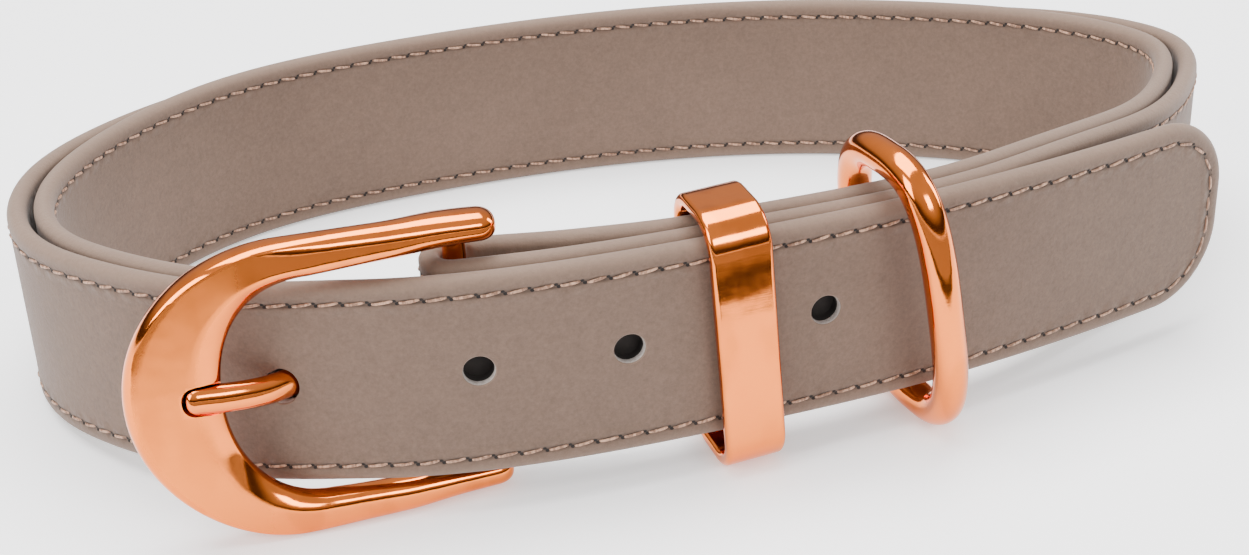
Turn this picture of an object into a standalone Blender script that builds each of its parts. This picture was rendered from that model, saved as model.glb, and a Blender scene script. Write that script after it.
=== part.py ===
"""Buckled leather dog collar, standing on its lower edge.

Two plies of leather run round the loop. The outer ply carries on through the
buckle to the free tip, and its other end folds round the buckle's bar. A flat
metal keeper and an oval leash ring go round the overlap in front.

+Z is up, -Y is the front with the buckle, and +X is to the right.
All sizes below are in millimetres.
"""

import math

import bmesh
import bpy
import numpy as np

MM = 0.001

# Leather
STRAP_WIDTH = 25.0
PLY = 2.4
PLY_GAP = 0.3
EASED_EDGE = 0.9
TIP_RADIUS = 10.0
RETURN_LENGTH = 1.2
BUTT_GAP = 0.6

# Middle of the collar's footprint, which becomes the origin
ORIGIN = (2.44, -1.5)

# Holes, by the distance of their centres from the tip
HOLE_DIAMETER = 3.5
HOLE_SIDES = 16
HOLES = [58.8, 82.3, 99.2]
HOLE_RISE = 0.9
TONGUE_HOLE = 119.4
TONGUE_HOLE_DIAMETER = 3.9

# Grain face of the outer ply seen from above, from the tip round to the main leg
ROUTE = [
    # place              x      y
    ("tip end", 70.9, -28.1),
    ("tip", 50.0, -35.2),
    ("ring", 28.0, -40.8),
    ("keeper", 6.0, -43.7),
    ("second hole", -17.0, -45.1),
    ("buckle window", -38.0, -42.9),
    ("behind the frame", -53.0, -36.6),
    ("left front", -66.5, -24.0),
    ("left bend, front", -75.4, -9.5),
    ("left bend, back", -76.0, 6.8),
    ("left back", -67.8, 23.0),
    ("back, left", -51.0, 37.4),
    ("back, left of middle", -25.0, 44.8),
    ("back, middle", 3.0, 46.6),
    ("back, right of middle", 31.0, 43.2),
    ("back, right", 57.3, 33.4),
    ("right bend, back", 75.4, 20.0),
    ("right bend", 81.7, 5.5),
    ("right bend, front", 75.9, -9.8),
    ("right front", 65.0, -22.0),
]

# The main leg lies behind the tip: distance from the tip, and grain face to grain face
MAIN_LEG = [
    # place        from tip  behind
    ("under the tip", 16.0, 5.2),
    ("ring", 33.0, 2.8),
    ("keeper", 66.0, 2.75),
    ("before the bar", 92.0, 3.1),
    ("bar", 100.6, 3.2),
]

# Height of the strap's lower edge, by the distance from the tip: the hardware lifts the front
LIFT = [
    # place            from tip  height
    ("tip", 0.0, 4.5),
    ("ring", 40.0, 5.0),
    ("buckle", 112.0, 5.0),
    ("behind the frame", 132.0, 3.6),
    ("left bend", 162.0, 1.2),
    ("back, left", 215.0, 0.0),
    ("back, right", 340.0, 0.0),
    ("right bend", 375.0, 1.0),
    ("right front", 404.0, 3.0),
    ("main leg at the ring", 432.0, 4.9),
    ("bar", 500.0, 5.0),
]

# Opening between the two plies, by the share of the lining's length from its buckle end
PLY_OPENING = [
    # place        share  opening
    ("buckle end", 0.00, 0.0),
    ("left bend", 0.12, 0.5),
    ("back, left", 0.28, 0.0),
    ("back, right", 0.52, 0.0),
    ("right bend", 0.66, 0.5),
    ("ring", 0.80, 0.0),
    ("keeper", 0.925, 0.1),
    ("before the bar", 0.965, 1.3),
    ("bar", 1.00, 2.4),
]
LINING_START = 127.0

# How far the outer ply's top edge lies below the lining's, by the share of the lining's length
TOP_DROP = [
    # place        share  drop
    ("left bend", 0.14, 0.0),
    ("back, left", 0.27, 1.8),
    ("back, right", 0.50, 1.8),
    ("right bend", 0.68, 0.0),
]

# Buckle
BAR_RADIUS = 1.3
BAR_GAP = 0.3
FRAME_HEIGHT = 36.3
FRAME_END_X = -64.2
WINDOW_HEIGHT = 27.4
WINDOW_END_X = -53.7
WINDOW_ROUND_X = -43.0
WINDOW_ROUNDNESS = 2.2

# How far the upper and the lower arm close in at their free ends
ARMS_CLOSE = {1: 1.25, -1: 0.4}
ARM_END_X = -22.4

# Frame section at places along an arm, from its free end to the middle of the frame's end
ARM_SECTIONS = [
    # place           x       y    thickness  squareness
    ("free end", -22.4, -39.0, 4.6, 2.2),
    ("bar", -27.7, -39.5, 4.8, 2.2),
    ("arm", -35.0, -41.2, 4.0, 2.3),
    ("shoulder", -48.0, -42.2, 3.6, 3.0),
    ("frame end", -64.2, -41.4, 3.2, 4.0),
]
ARM_END_HEIGHT = 3.4
SECTION_SIDES = 14

# Tongue: middle line seen from above, with its thickness and height
TONGUE = [
    # place          x      y   thick  high
    ("eye", -28.6, -37.7, 2.0, 3.0),
    ("behind the strap", -37.5, -37.2, 2.4, 3.2),
    ("entering the hole", -42.6, -37.6, 2.4, 3.3),
    ("leaving the hole", -47.2, -40.6, 2.6, 3.4),
    ("on the rest", -53.5, -42.9, 2.6, 3.4),
    ("tip", -56.4, -43.5, 2.4, 3.2),
]
TONGUE_Z = 17.6
TONGUE_GAP = 0.3
TONGUE_SIDES = 10
EYE_WALL = 1.1
EYE_HEIGHT = 3.4
SLOT_HEIGHT = 4.4

# Keeper: a flat band bent to a rounded oblong
KEEPER_AT = 69.1
KEEPER_FORWARD = 0.3
KEEPER_WIDTH = 7.3
KEEPER_SHEET = 1.5
KEEPER_HEIGHT = 33.0
KEEPER_DEPTH = 12.7
KEEPER_CORNER = 4.6
KEEPER_LEAN = math.radians(-3.5)

# Leash ring: round wire bent to an oval
RING_AT = 47.6
RING_FORWARD = 1.4
RING_WIRE = 4.1
RING_HEIGHT = 37.2
RING_DEPTH = 22.5
RING_SQUARENESS = 3.0
RING_TURN = math.radians(2.0)
RING_LEAN = math.radians(-9.0)

# Fineness of the solids
LONGEST_STEP = 5.0
MOST_TURN = math.radians(9.0)
ROUND_STEPS = 6


def natural_bend(knots, points):
    """Second derivatives of the cubic spline through the points, with no bend at either end."""
    count = len(knots)
    gaps = np.diff(knots)
    system = np.eye(count)
    right = np.zeros_like(points)
    for i in range(1, count - 1):
        system[i, i - 1 : i + 2] = gaps[i - 1], 2 * (gaps[i - 1] + gaps[i]), gaps[i]
        after = (points[i + 1] - points[i]) / gaps[i]
        before = (points[i] - points[i - 1]) / gaps[i - 1]
        right[i] = 6 * (after - before)
    return np.linalg.solve(system, right)


def cubic(knots, points, bend, steps):
    """The spline's points at the steps."""
    cell = np.clip(np.searchsorted(knots, steps) - 1, 0, len(knots) - 2)
    gap = (knots[cell + 1] - knots[cell])[:, None]
    right = (steps - knots[cell])[:, None] / gap
    left = 1.0 - right
    straight = left * points[cell] + right * points[cell + 1]
    curved = (left**3 - left) * bend[cell] + (right**3 - right) * bend[cell + 1]
    return straight + curved * gap**2 / 6


class Path:
    """A smooth line through points in plan, read by the distance along it."""

    def __init__(self, points, samples_per_mm=8):
        points = np.array(points, float)
        chords = np.linalg.norm(np.diff(points, axis=0), axis=1)
        knots = np.concatenate([[0.0], np.cumsum(chords)])
        steps = np.linspace(0.0, knots[-1], int(knots[-1] * samples_per_mm) + 1)
        self.points = cubic(knots, points, natural_bend(knots, points), steps)
        runs = np.linalg.norm(np.diff(self.points, axis=0), axis=1)
        self.distances = np.concatenate([[0.0], np.cumsum(runs)])
        self.length = self.distances[-1]
        slopes = np.gradient(self.points, self.distances, axis=0)
        self.headings = np.unwrap(np.arctan2(slopes[:, 1], slopes[:, 0]))
        self.turns = np.abs(np.gradient(self.headings, self.distances))

    def at(self, distance):
        x = np.interp(distance, self.distances, self.points[:, 0])
        y = np.interp(distance, self.distances, self.points[:, 1])
        return np.array([x, y])

    def heading(self, distance):
        return np.interp(distance, self.distances, self.headings)

    def outward(self, distance):
        """The collar is followed clockwise, so its outer side is on the left."""
        heading = self.heading(distance)
        return np.array([-math.sin(heading), math.cos(heading)])

    def stations(self, start, end):
        """Distances to model, closer together where the strap bends."""
        found = [start]
        while found[-1] < end:
            turn = np.interp(found[-1], self.distances, self.turns)
            found.append(found[-1] + min(LONGEST_STEP, MOST_TURN / max(turn, 1e-6)))
        found = np.array(found)
        return start + (found - start) * (end - start) / (found[-1] - start)


def column(rows, index):
    return np.array([row[index] for row in rows], float)


def read_table(rows, place_column, value_column, place):
    """A value between a table's rows, on a smooth curve that never passes beyond them."""
    places, values = column(rows, place_column), column(rows, value_column)
    order = np.argsort(places)
    places, values = places[order], values[order]
    gaps = np.diff(places)
    climbs = np.diff(values) / gaps
    slopes = np.zeros(len(places))
    for i in range(1, len(places) - 1):
        before, after = climbs[i - 1], climbs[i]
        if before * after > 0:
            slopes[i] = 2 * before * after / (before + after)
    cell = int(np.clip(np.searchsorted(places, place) - 1, 0, len(gaps) - 1))
    share = np.clip((place - places[cell]) / gaps[cell], 0.0, 1.0)
    eased = share * share * (3 - 2 * share)
    bend = share * (1 - share) * gaps[cell]
    lean = slopes[cell] * (1 - share) - slopes[cell + 1] * share
    return values[cell] + (values[cell + 1] - values[cell]) * eased + bend * lean


def lift(from_tip):
    return read_table(LIFT, 1, 2, from_tip)


def lining_share(distance, route):
    return (distance - LINING_START) / (lining_end(route) - LINING_START)


def lining_end(route):
    return route.length - RETURN_LENGTH - BUTT_GAP


def grain_route():
    """The outer ply's grain face, from the tip to where it meets the bar."""
    first = Path([(x, y) for _, x, y in ROUTE])
    points = [(x, y) for _, x, y in ROUTE]
    for _, from_tip, behind in MAIN_LEG:
        points.append(tuple(first.at(from_tip) - first.outward(from_tip) * behind))
    return Path(points)


def material(name, colour, roughness, metallic):
    made = bpy.data.materials.new(name)
    made.use_nodes = True
    shader = made.node_tree.nodes["Principled BSDF"]
    shader.inputs["Base Color"].default_value = (*colour, 1.0)
    shader.inputs["Roughness"].default_value = roughness
    shader.inputs["Metallic"].default_value = metallic
    return made


def loft(name, rings, closed=False):
    """A closed body through rings of points, each ring with the same count."""
    mesh = bmesh.new()
    origin = np.array([*ORIGIN, 0.0])
    made = [[mesh.verts.new((np.array(point) - origin) * MM) for point in ring] for ring in rings]
    count = len(made[0])
    following = made[1:] + made[:1] if closed else made[1:]
    for ring, other in zip(made, following):
        for i in range(count):
            j = (i + 1) % count
            mesh.faces.new((ring[i], ring[j], other[j], other[i]))
    if not closed:
        mesh.faces.new(reversed(made[0]))
        mesh.faces.new(made[-1])
    bmesh.ops.recalc_face_normals(mesh, faces=mesh.faces)
    data = bpy.data.meshes.new(name)
    mesh.to_mesh(data)
    mesh.free()
    body = bpy.data.objects.new(name, data)
    bpy.context.scene.collection.objects.link(body)
    return body


def finish(body, look, smooth_angle=math.radians(35)):
    body.data.materials.append(look)
    body.data.shade_smooth()
    body.data.set_sharp_from_angle(angle=smooth_angle)
    return body


def boolean(body, other, operation):
    other.hide_render = True
    other.display_type = "WIRE"
    change = body.modifiers.new(f"{operation.lower()} {other.name}", "BOOLEAN")
    change.operation = operation
    change.object = other
    change.solver = "EXACT"


def ply_ring(grain, flesh, low, high):
    """Section of a ply with eased edges, between a grain point and a flesh point."""
    across = (flesh - grain) / np.linalg.norm(flesh - grain)
    ease = min(EASED_EDGE, (high - low) / 3)
    corners = [
        (grain, low + ease),
        (grain, high - ease),
        (grain + across * ease, high),
        (flesh - across * ease, high),
        (flesh, high - ease),
        (flesh, low + ease),
        (flesh - across * ease, low),
        (grain + across * ease, low),
    ]
    return [(*point, z) for point, z in corners]


def tip_stations():
    """Distances and edge insets that round the strap's free end."""
    rows = []
    for i in range(ROUND_STEPS):
        angle = (i + 0.35) / ROUND_STEPS * math.pi / 2
        rows.append((TIP_RADIUS * (1 - math.cos(angle)), TIP_RADIUS * (1 - math.sin(angle))))
    return rows


def bar_centre(route):
    return route.at(route.length) - route.outward(route.length) * fold_radius()


def fold_radius():
    return BAR_RADIUS + BAR_GAP + PLY


def outer_strap(route, slot, look):
    rings = []
    rows = tip_stations() + [(s, 0.0) for s in route.stations(TIP_RADIUS, route.length)]
    for distance, inset in rows:
        grain = route.at(distance)
        flesh = grain - route.outward(distance) * PLY
        low = lift(distance)
        high = low + STRAP_WIDTH - read_table(TOP_DROP, 1, 2, lining_share(distance, route))
        rings.append(ply_ring(grain, flesh, low + inset, high - inset))
    centre = bar_centre(route)
    outward = route.outward(route.length)
    low = lift(route.length)
    turns = 14
    for i in range(1, turns + 1):
        angle = -math.pi * i / turns
        spoke = turned(outward, angle)
        rings.append(
            ply_ring(
                centre + spoke * fold_radius(),
                centre + spoke * (fold_radius() - PLY),
                low,
                low + STRAP_WIDTH,
            )
        )
    return_run = turned(outward, -math.pi / 2) * -RETURN_LENGTH
    last = rings[-1]
    rings.append([(x + return_run[0], y + return_run[1], z) for x, y, z in last])
    strap = finish(loft("outer_strap", rings), look)
    for i, from_tip in enumerate(HOLES):
        boolean(strap, punch(route, from_tip, HOLE_DIAMETER, f"hole_{i + 1}_cutter"), "DIFFERENCE")
    cutter = punch(route, TONGUE_HOLE, TONGUE_HOLE_DIAMETER, "tongue_hole_cutter")
    boolean(strap, cutter, "DIFFERENCE")
    boolean(strap, tongue_body("tongue_way_cutter", TONGUE_GAP), "DIFFERENCE")
    boolean(strap, slot, "DIFFERENCE")
    return strap


def turned(vector, angle):
    cosine, sine = math.cos(angle), math.sin(angle)
    return np.array([cosine * vector[0] - sine * vector[1], sine * vector[0] + cosine * vector[1]])


def punch(route, from_tip, diameter, name):
    """A round punch through the tip's ply."""
    grain = route.at(from_tip)
    outward = route.outward(from_tip)
    middle = lift(from_tip) + STRAP_WIDTH / 2 + HOLE_RISE
    along = np.array([-outward[1], outward[0]])
    rings = []
    for depth in (1.0, -PLY - 0.25):
        centre = grain + outward * depth
        ring = []
        for i in range(HOLE_SIDES):
            angle = 2 * math.pi * i / HOLE_SIDES
            point = centre + along * math.cos(angle) * diameter / 2
            ring.append((*point, middle + math.sin(angle) * diameter / 2))
        rings.append(ring)
    return loft(name, rings)


def box(name, low, high):
    rings = []
    for z in (low[2], high[2]):
        corners = [(low[0], low[1]), (high[0], low[1]), (high[0], high[1]), (low[0], high[1])]
        rings.append([(x, y, z) for x, y in corners])
    return loft(name, rings)


def slot_cutter(route):
    """The slot in the fold that the tongue's eye turns in."""
    centre = bar_centre(route)
    reach = fold_radius() + 1.0
    low = (centre[0] - reach, centre[1] - reach + 0.4, TONGUE_Z - SLOT_HEIGHT / 2)
    high = (centre[0] + fold_radius() - 0.8, centre[1] + reach, TONGUE_Z + SLOT_HEIGHT / 2)
    return box("slot_cutter", low, high)


def lining_strap(route, slot, look):
    rings = []
    for distance in route.stations(LINING_START, lining_end(route)):
        opening = PLY_GAP + read_table(PLY_OPENING, 1, 2, lining_share(distance, route))
        outward = route.outward(distance)
        grain = route.at(distance) - outward * (PLY + opening)
        low = lift(distance)
        rings.append(ply_ring(grain, grain - outward * PLY, low, low + STRAP_WIDTH))
    strap = finish(loft("lining_strap", rings), look)
    boolean(strap, slot, "DIFFERENCE")
    return strap


def frame_outline(turn):
    """Outer and inner points of the frame, in x and height above its middle."""
    half = FRAME_HEIGHT / 2
    inner_half = WINDOW_HEIGHT / 2
    cosine, sine = math.cos(turn), math.sin(turn)
    outer = (FRAME_END_X + half + half * cosine, half * sine)
    power = 2 / WINDOW_ROUNDNESS
    reach = WINDOW_ROUND_X - WINDOW_END_X
    inner = (
        WINDOW_ROUND_X - reach * abs(cosine) ** power,
        inner_half * math.copysign(abs(sine) ** power, sine),
    )
    return outer, inner


def arm_outline(x, side):
    """Outer and inner points of an arm, which thins and rounds off towards its free end."""
    half = FRAME_HEIGHT / 2
    root = FRAME_END_X + half
    share = (x - root) / (ARM_END_X - root)
    height = (FRAME_HEIGHT - WINDOW_HEIGHT) / 2
    thin = height + (ARM_END_HEIGHT - height) * share
    half -= ARMS_CLOSE[side] * share * share
    return (x, side * half), (x, side * (half - thin))


def frame_ring(outer, inner, y, thickness, squareness, size=1.0):
    """Rounded section of the frame between its outer and inner points."""
    outer, inner = np.array(outer), np.array(inner)
    middle = (outer + inner) / 2
    across = (outer - inner) / 2 * size
    ring = []
    for i in range(SECTION_SIDES):
        angle = 2 * math.pi * i / SECTION_SIDES
        cosine, sine = math.cos(angle), math.sin(angle)
        a = math.copysign(abs(cosine) ** (2 / squareness), cosine)
        b = math.copysign(abs(sine) ** (2 / squareness), sine)
        x, height = middle + across * a
        ring.append((x, y + thickness / 2 * size * b, FRAME_HEIGHT / 2 + height))
    return ring


def arm_rings(side):
    """An arm's sections, from its rounded free end to the frame's round end."""
    root = FRAME_END_X + FRAME_HEIGHT / 2
    rows = []
    for turn in (12, 35, 60):
        angle = math.radians(turn)
        rows.append((ARM_END_X - 2.0 + 2.0 * math.cos(angle), math.sin(angle) ** 0.7))
    for x in np.linspace(ARM_END_X - 2.0, root, 8)[:-1]:
        rows.append((x, 1.0))
    rings = []
    for x, size in rows:
        outer, inner = arm_outline(x, side)
        rings.append(frame_ring(outer, inner, *frame_shape(x), size=size))
    return rings


def frame_shape(x):
    """The frame's middle line in y, its thickness and its squareness at a place along it."""
    return [read_table(ARM_SECTIONS, 1, value, x) for value in (2, 3, 4)]


def buckle_frame(route, look):
    upper, lower = arm_rings(1), arm_rings(-1)
    end = []
    for i in range(17):
        outer, inner = frame_outline(math.pi / 2 + math.pi * i / 16)
        end.append(frame_ring(outer, inner, *frame_shape((outer[0] + inner[0]) / 2)))
    frame = loft("buckle_frame", upper + end + [ring for ring in reversed(lower)])
    centre = bar_centre(route)
    reach = FRAME_HEIGHT / 2 - 1.5
    bar = rod("bar_body", centre, BAR_RADIUS, FRAME_HEIGHT / 2 - reach, FRAME_HEIGHT / 2 + reach)
    boolean(frame, bar, "UNION")
    boolean(frame, tongue_body("tongue_rest_cutter", TONGUE_GAP), "DIFFERENCE")
    return finish(frame, look)


def rod(name, centre, radius, low, high, sides=16):
    rings = []
    for z in (low, high):
        ring = []
        for i in range(sides):
            angle = 2 * math.pi * i / sides
            ring.append((centre[0] + radius * math.cos(angle), centre[1] + radius * math.sin(angle), z))
        rings.append(ring)
    return loft(name, rings)


def tongue_body(name, spare=0.0):
    """The tongue's shaft, or with some spare room the way that it needs."""
    line = Path([(x, y) for _, x, y, _, _ in TONGUE])
    stops = np.linspace(0.0, line.length, 15)
    rings = []
    for distance in stops:
        rings.append(tongue_ring(line, distance, spare, 1.0))
    for turn in (30, 55, 78):
        angle = math.radians(turn)
        rings.append(tongue_ring(line, line.length, spare, math.cos(angle), math.sin(angle) * 1.3))
    return loft(name, rings)


def tongue_ring(line, distance, spare, size, beyond=0.0):
    x, y = line.at(distance)
    outward = line.outward(distance)
    heading = line.heading(distance)
    thick = (read_table(TONGUE, 1, 3, x) / 2 + spare) * size
    high = (read_table(TONGUE, 1, 4, x) / 2 + spare) * size
    reach = beyond * (1 + spare)
    x += math.cos(heading) * reach
    y += math.sin(heading) * reach
    ring = []
    for i in range(TONGUE_SIDES):
        angle = 2 * math.pi * (i + 0.5) / TONGUE_SIDES
        depth = thick * math.cos(angle)
        ring.append((x + outward[0] * depth, y + outward[1] * depth, TONGUE_Z + high * math.sin(angle)))
    return ring


def buckle_tongue(route, look):
    tongue = tongue_body("buckle_tongue")
    centre = bar_centre(route)
    bore = BAR_RADIUS + BAR_GAP
    eye = rod("eye_body", centre, bore + EYE_WALL, TONGUE_Z - EYE_HEIGHT / 2, TONGUE_Z + EYE_HEIGHT / 2)
    eye_bore = rod("eye_bore_cutter", centre, bore, TONGUE_Z - EYE_HEIGHT, TONGUE_Z + EYE_HEIGHT)
    boolean(tongue, eye, "UNION")
    boolean(tongue, eye_bore, "DIFFERENCE")
    return finish(tongue, look)


def keeper_loop(route, look):
    """A band swept round a rounded oblong that stands across the strap."""
    rings = []
    outward = route.outward(KEEPER_AT)
    along = np.array([-outward[1], outward[0]])
    middle_depth = stack_middle(route, KEEPER_AT, KEEPER_FORWARD)
    ease = 0.45
    half = KEEPER_WIDTH / 2
    section = [
        (0.0, -half + ease),
        (0.0, half - ease),
        (ease, half),
        (KEEPER_SHEET - ease, half),
        (KEEPER_SHEET, half - ease),
        (KEEPER_SHEET, -half + ease),
        (KEEPER_SHEET - ease, -half),
        (ease, -half),
    ]
    corner_angles = np.linspace(0.0, math.pi / 2, ROUND_STEPS + 1)
    for quarter, (side_y, side_z) in enumerate([(1, 1), (-1, 1), (-1, -1), (1, -1)]):
        for angle in corner_angles:
            direction = angle + quarter * math.pi / 2
            cosine, sine = math.cos(direction), math.sin(direction)
            ring = []
            for inset, across in section:
                radius = KEEPER_CORNER - inset
                depth = side_y * (KEEPER_DEPTH / 2 - KEEPER_CORNER) + radius * cosine
                height = side_z * (KEEPER_HEIGHT / 2 - KEEPER_CORNER) + radius * sine
                ring.append(placed(middle_depth, outward, along, depth, across, height, KEEPER_LEAN))
            rings.append(ring)
    loop = loft("keeper_loop", rings, closed=True)
    drop_to_floor(loop)
    return finish(loop, look, math.radians(25))


def placed(middle, outward, along, depth, across, height, lean):
    """A point given by depth, reach across and height, leaned along the strap."""
    shift = across * math.cos(lean) + height * math.sin(lean)
    rise = height * math.cos(lean) - across * math.sin(lean)
    x, y = middle + outward * depth + along * shift
    return (x, y, rise)


def stack_middle(route, from_tip, forward):
    """Middle of the three layers at a place in front, or a little forward of it."""
    return route.at(from_tip) + route.outward(from_tip) * (forward - 1.5 * PLY - 2 * PLY_GAP)


def leash_ring(route, look):
    rings = []
    outward = turned(route.outward(RING_AT), RING_TURN)
    along = np.array([-outward[1], outward[0]])
    middle = stack_middle(route, RING_AT, RING_FORWARD)
    wire = RING_WIRE / 2
    tall, deep = RING_HEIGHT / 2 - wire, RING_DEPTH / 2 - wire
    for i in range(40):
        turn = 2 * math.pi * i / 40
        cosine, sine = math.cos(turn), math.sin(turn)
        depth = deep * softened(cosine)
        height = tall * softened(sine)
        normal = np.array([
            math.copysign(abs(depth / deep) ** (RING_SQUARENESS - 1) / deep, cosine),
            math.copysign(abs(height / tall) ** (RING_SQUARENESS - 1) / tall, sine),
        ])
        spoke = normal / np.linalg.norm(normal)
        ring = []
        for j in range(12):
            angle = 2 * math.pi * j / 12
            out, across = wire * math.cos(angle), wire * math.sin(angle)
            reach, rise = np.array([depth, height]) + spoke * out
            ring.append(placed(middle, outward, along, reach, across, rise, RING_LEAN))
        rings.append(ring)
    ring_body = loft("leash_ring", rings, closed=True)
    drop_to_floor(ring_body)
    return finish(ring_body, look, math.radians(60))


def softened(value):
    """A sine or cosine that makes an oval a little squarer than an ellipse."""
    return math.copysign(abs(value) ** (2 / RING_SQUARENESS), value)


def drop_to_floor(body):
    lowest = min(vertex.co.z for vertex in body.data.vertices)
    for vertex in body.data.vertices:
        vertex.co.z -= lowest


def main():
    for old in list(bpy.data.objects):
        bpy.data.objects.remove(old, do_unlink=True)
    taupe = material("taupe leather", (0.328, 0.253, 0.202), 0.62, 0.0)
    lining = material("taupe lining", (0.262, 0.198, 0.159), 0.7, 0.0)
    copper = material("polished copper", (0.78, 0.39, 0.22), 0.16, 1.0)
    route = grain_route()
    slot = slot_cutter(route)
    outer_strap(route, slot, taupe)
    lining_strap(route, slot, lining)
    buckle_frame(route, copper)
    buckle_tongue(route, copper)
    keeper_loop(route, copper)
    leash_ring(route, copper)


main()
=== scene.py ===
# %% [markdown]
# # A buckled leather dog collar
#
# Two plies of soft taupe leather, a horseshoe buckle, a flat keeper and an oval leash ring,
# all standing on the strap's edge. The solids come first, as a fixed frame, and this lesson
# gives each of them its finished surface. Sizes are in millimetres, and MM turns them into metres.

import math

import bmesh
import bpy
import numpy as np
from mathutils import Matrix, Vector


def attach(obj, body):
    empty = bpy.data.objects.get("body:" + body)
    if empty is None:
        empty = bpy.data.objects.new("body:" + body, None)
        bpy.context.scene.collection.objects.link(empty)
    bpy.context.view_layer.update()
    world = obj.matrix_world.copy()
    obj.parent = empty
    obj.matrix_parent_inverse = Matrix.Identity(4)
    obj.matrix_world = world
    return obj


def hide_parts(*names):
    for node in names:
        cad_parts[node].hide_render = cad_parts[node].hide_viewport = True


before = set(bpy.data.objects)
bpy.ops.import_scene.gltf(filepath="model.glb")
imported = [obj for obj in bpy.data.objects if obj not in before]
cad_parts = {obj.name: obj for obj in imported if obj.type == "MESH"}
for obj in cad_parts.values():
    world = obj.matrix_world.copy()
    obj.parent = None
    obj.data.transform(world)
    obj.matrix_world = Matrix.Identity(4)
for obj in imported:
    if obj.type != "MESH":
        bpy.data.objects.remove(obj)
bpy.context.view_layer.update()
MM = 0.001
print("solids:", sorted(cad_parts))


# %% [markdown]
# ## One smooth line for the strap
#
# A strap could be bent with a curve modifier, but then every stitch would have to be bent after it.
# Here the strap's line is a cubic spline that any distance can be read from, so leather, thread and
# holes all ask the same line where they are. The rows below repeat the part's own route.

# %% The route seen from above
ORIGIN = np.array([2.44, -1.5, 0.0])
ROUTE = [
    # place              x      y
    ("tip end", 70.9, -28.1),
    ("tip", 50.0, -35.2),
    ("ring", 28.0, -40.8),
    ("keeper", 6.0, -43.7),
    ("second hole", -17.0, -45.1),
    ("buckle window", -38.0, -42.9),
    ("behind the frame", -53.0, -36.6),
    ("left front", -66.5, -24.0),
    ("left bend, front", -75.4, -9.5),
    ("left bend, back", -76.0, 6.8),
    ("left back", -67.8, 23.0),
    ("back, left", -51.0, 37.4),
    ("back, left of middle", -25.0, 44.8),
    ("back, middle", 3.0, 46.6),
    ("back, right of middle", 31.0, 43.2),
    ("back, right", 57.3, 33.4),
    ("right bend, back", 75.4, 20.0),
    ("right bend", 81.7, 5.5),
    ("right bend, front", 75.9, -9.8),
    ("right front", 65.0, -22.0),
]
MAIN_LEG = [
    # place        from tip  behind
    ("under the tip", 16.0, 5.2),
    ("ring", 33.0, 2.8),
    ("keeper", 66.0, 2.75),
    ("before the bar", 92.0, 3.1),
    ("bar", 100.6, 3.2),
]
LIFT = [
    # place            from tip  height
    ("tip", 0.0, 4.5),
    ("ring", 40.0, 5.0),
    ("buckle", 112.0, 5.0),
    ("behind the frame", 132.0, 3.6),
    ("left bend", 162.0, 1.2),
    ("back, left", 215.0, 0.0),
    ("back, right", 340.0, 0.0),
    ("right bend", 375.0, 1.0),
    ("right front", 404.0, 3.0),
    ("main leg at the ring", 432.0, 4.9),
    ("bar", 500.0, 5.0),
]
PLY_OPENING = [
    # place        share  opening
    ("buckle end", 0.00, 0.0),
    ("left bend", 0.12, 0.5),
    ("back, left", 0.28, 0.0),
    ("back, right", 0.52, 0.0),
    ("right bend", 0.66, 0.5),
    ("ring", 0.80, 0.0),
    ("keeper", 0.925, 0.1),
    ("before the bar", 0.965, 1.3),
    ("bar", 1.00, 2.4),
]
TOP_DROP = [
    # place        share  drop
    ("left bend", 0.14, 0.0),
    ("back, left", 0.27, 1.8),
    ("back, right", 0.50, 1.8),
    ("right bend", 0.68, 0.0),
]
print("route rows:", len(ROUTE) + len(MAIN_LEG))


# %% A spline and a smooth table
def natural_bend(knots, points):
    """Second derivatives of the spline through the points, with no bend at either end."""
    count = len(knots)
    gaps = np.diff(knots)
    system = np.eye(count)
    right = np.zeros_like(points)
    for i in range(1, count - 1):
        system[i, i - 1 : i + 2] = gaps[i - 1], 2 * (gaps[i - 1] + gaps[i]), gaps[i]
        after = (points[i + 1] - points[i]) / gaps[i]
        before = (points[i] - points[i - 1]) / gaps[i - 1]
        right[i] = 6 * (after - before)
    return np.linalg.solve(system, right)


def cubic(knots, points, bend, steps):
    cell = np.clip(np.searchsorted(knots, steps) - 1, 0, len(knots) - 2)
    gap = (knots[cell + 1] - knots[cell])[:, None]
    right = (steps - knots[cell])[:, None] / gap
    left = 1.0 - right
    straight = left * points[cell] + right * points[cell + 1]
    curved = (left**3 - left) * bend[cell] + (right**3 - right) * bend[cell + 1]
    return straight + curved * gap**2 / 6


class Path:
    """A smooth line in plan, read by the distance along it. Its outer side is on the left."""

    def __init__(self, points, samples_per_mm=8):
        points = np.array(points, float)
        chords = np.linalg.norm(np.diff(points, axis=0), axis=1)
        knots = np.concatenate([[0.0], np.cumsum(chords)])
        steps = np.linspace(0.0, knots[-1], int(knots[-1] * samples_per_mm) + 1)
        self.points = cubic(knots, points, natural_bend(knots, points), steps)
        self.measure()

    def measure(self):
        runs = np.linalg.norm(np.diff(self.points, axis=0), axis=1)
        self.distances = np.concatenate([[0.0], np.cumsum(runs)])
        self.length = self.distances[-1]
        slopes = np.gradient(self.points, self.distances, axis=0)
        self.headings = np.unwrap(np.arctan2(slopes[:, 1], slopes[:, 0]))

    def at(self, distance):
        x = np.interp(distance, self.distances, self.points[:, 0])
        y = np.interp(distance, self.distances, self.points[:, 1])
        return np.stack([x, y], axis=-1)

    def outward(self, distance):
        heading = np.interp(distance, self.distances, self.headings)
        return np.stack([-np.sin(heading), np.cos(heading)], axis=-1)


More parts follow.
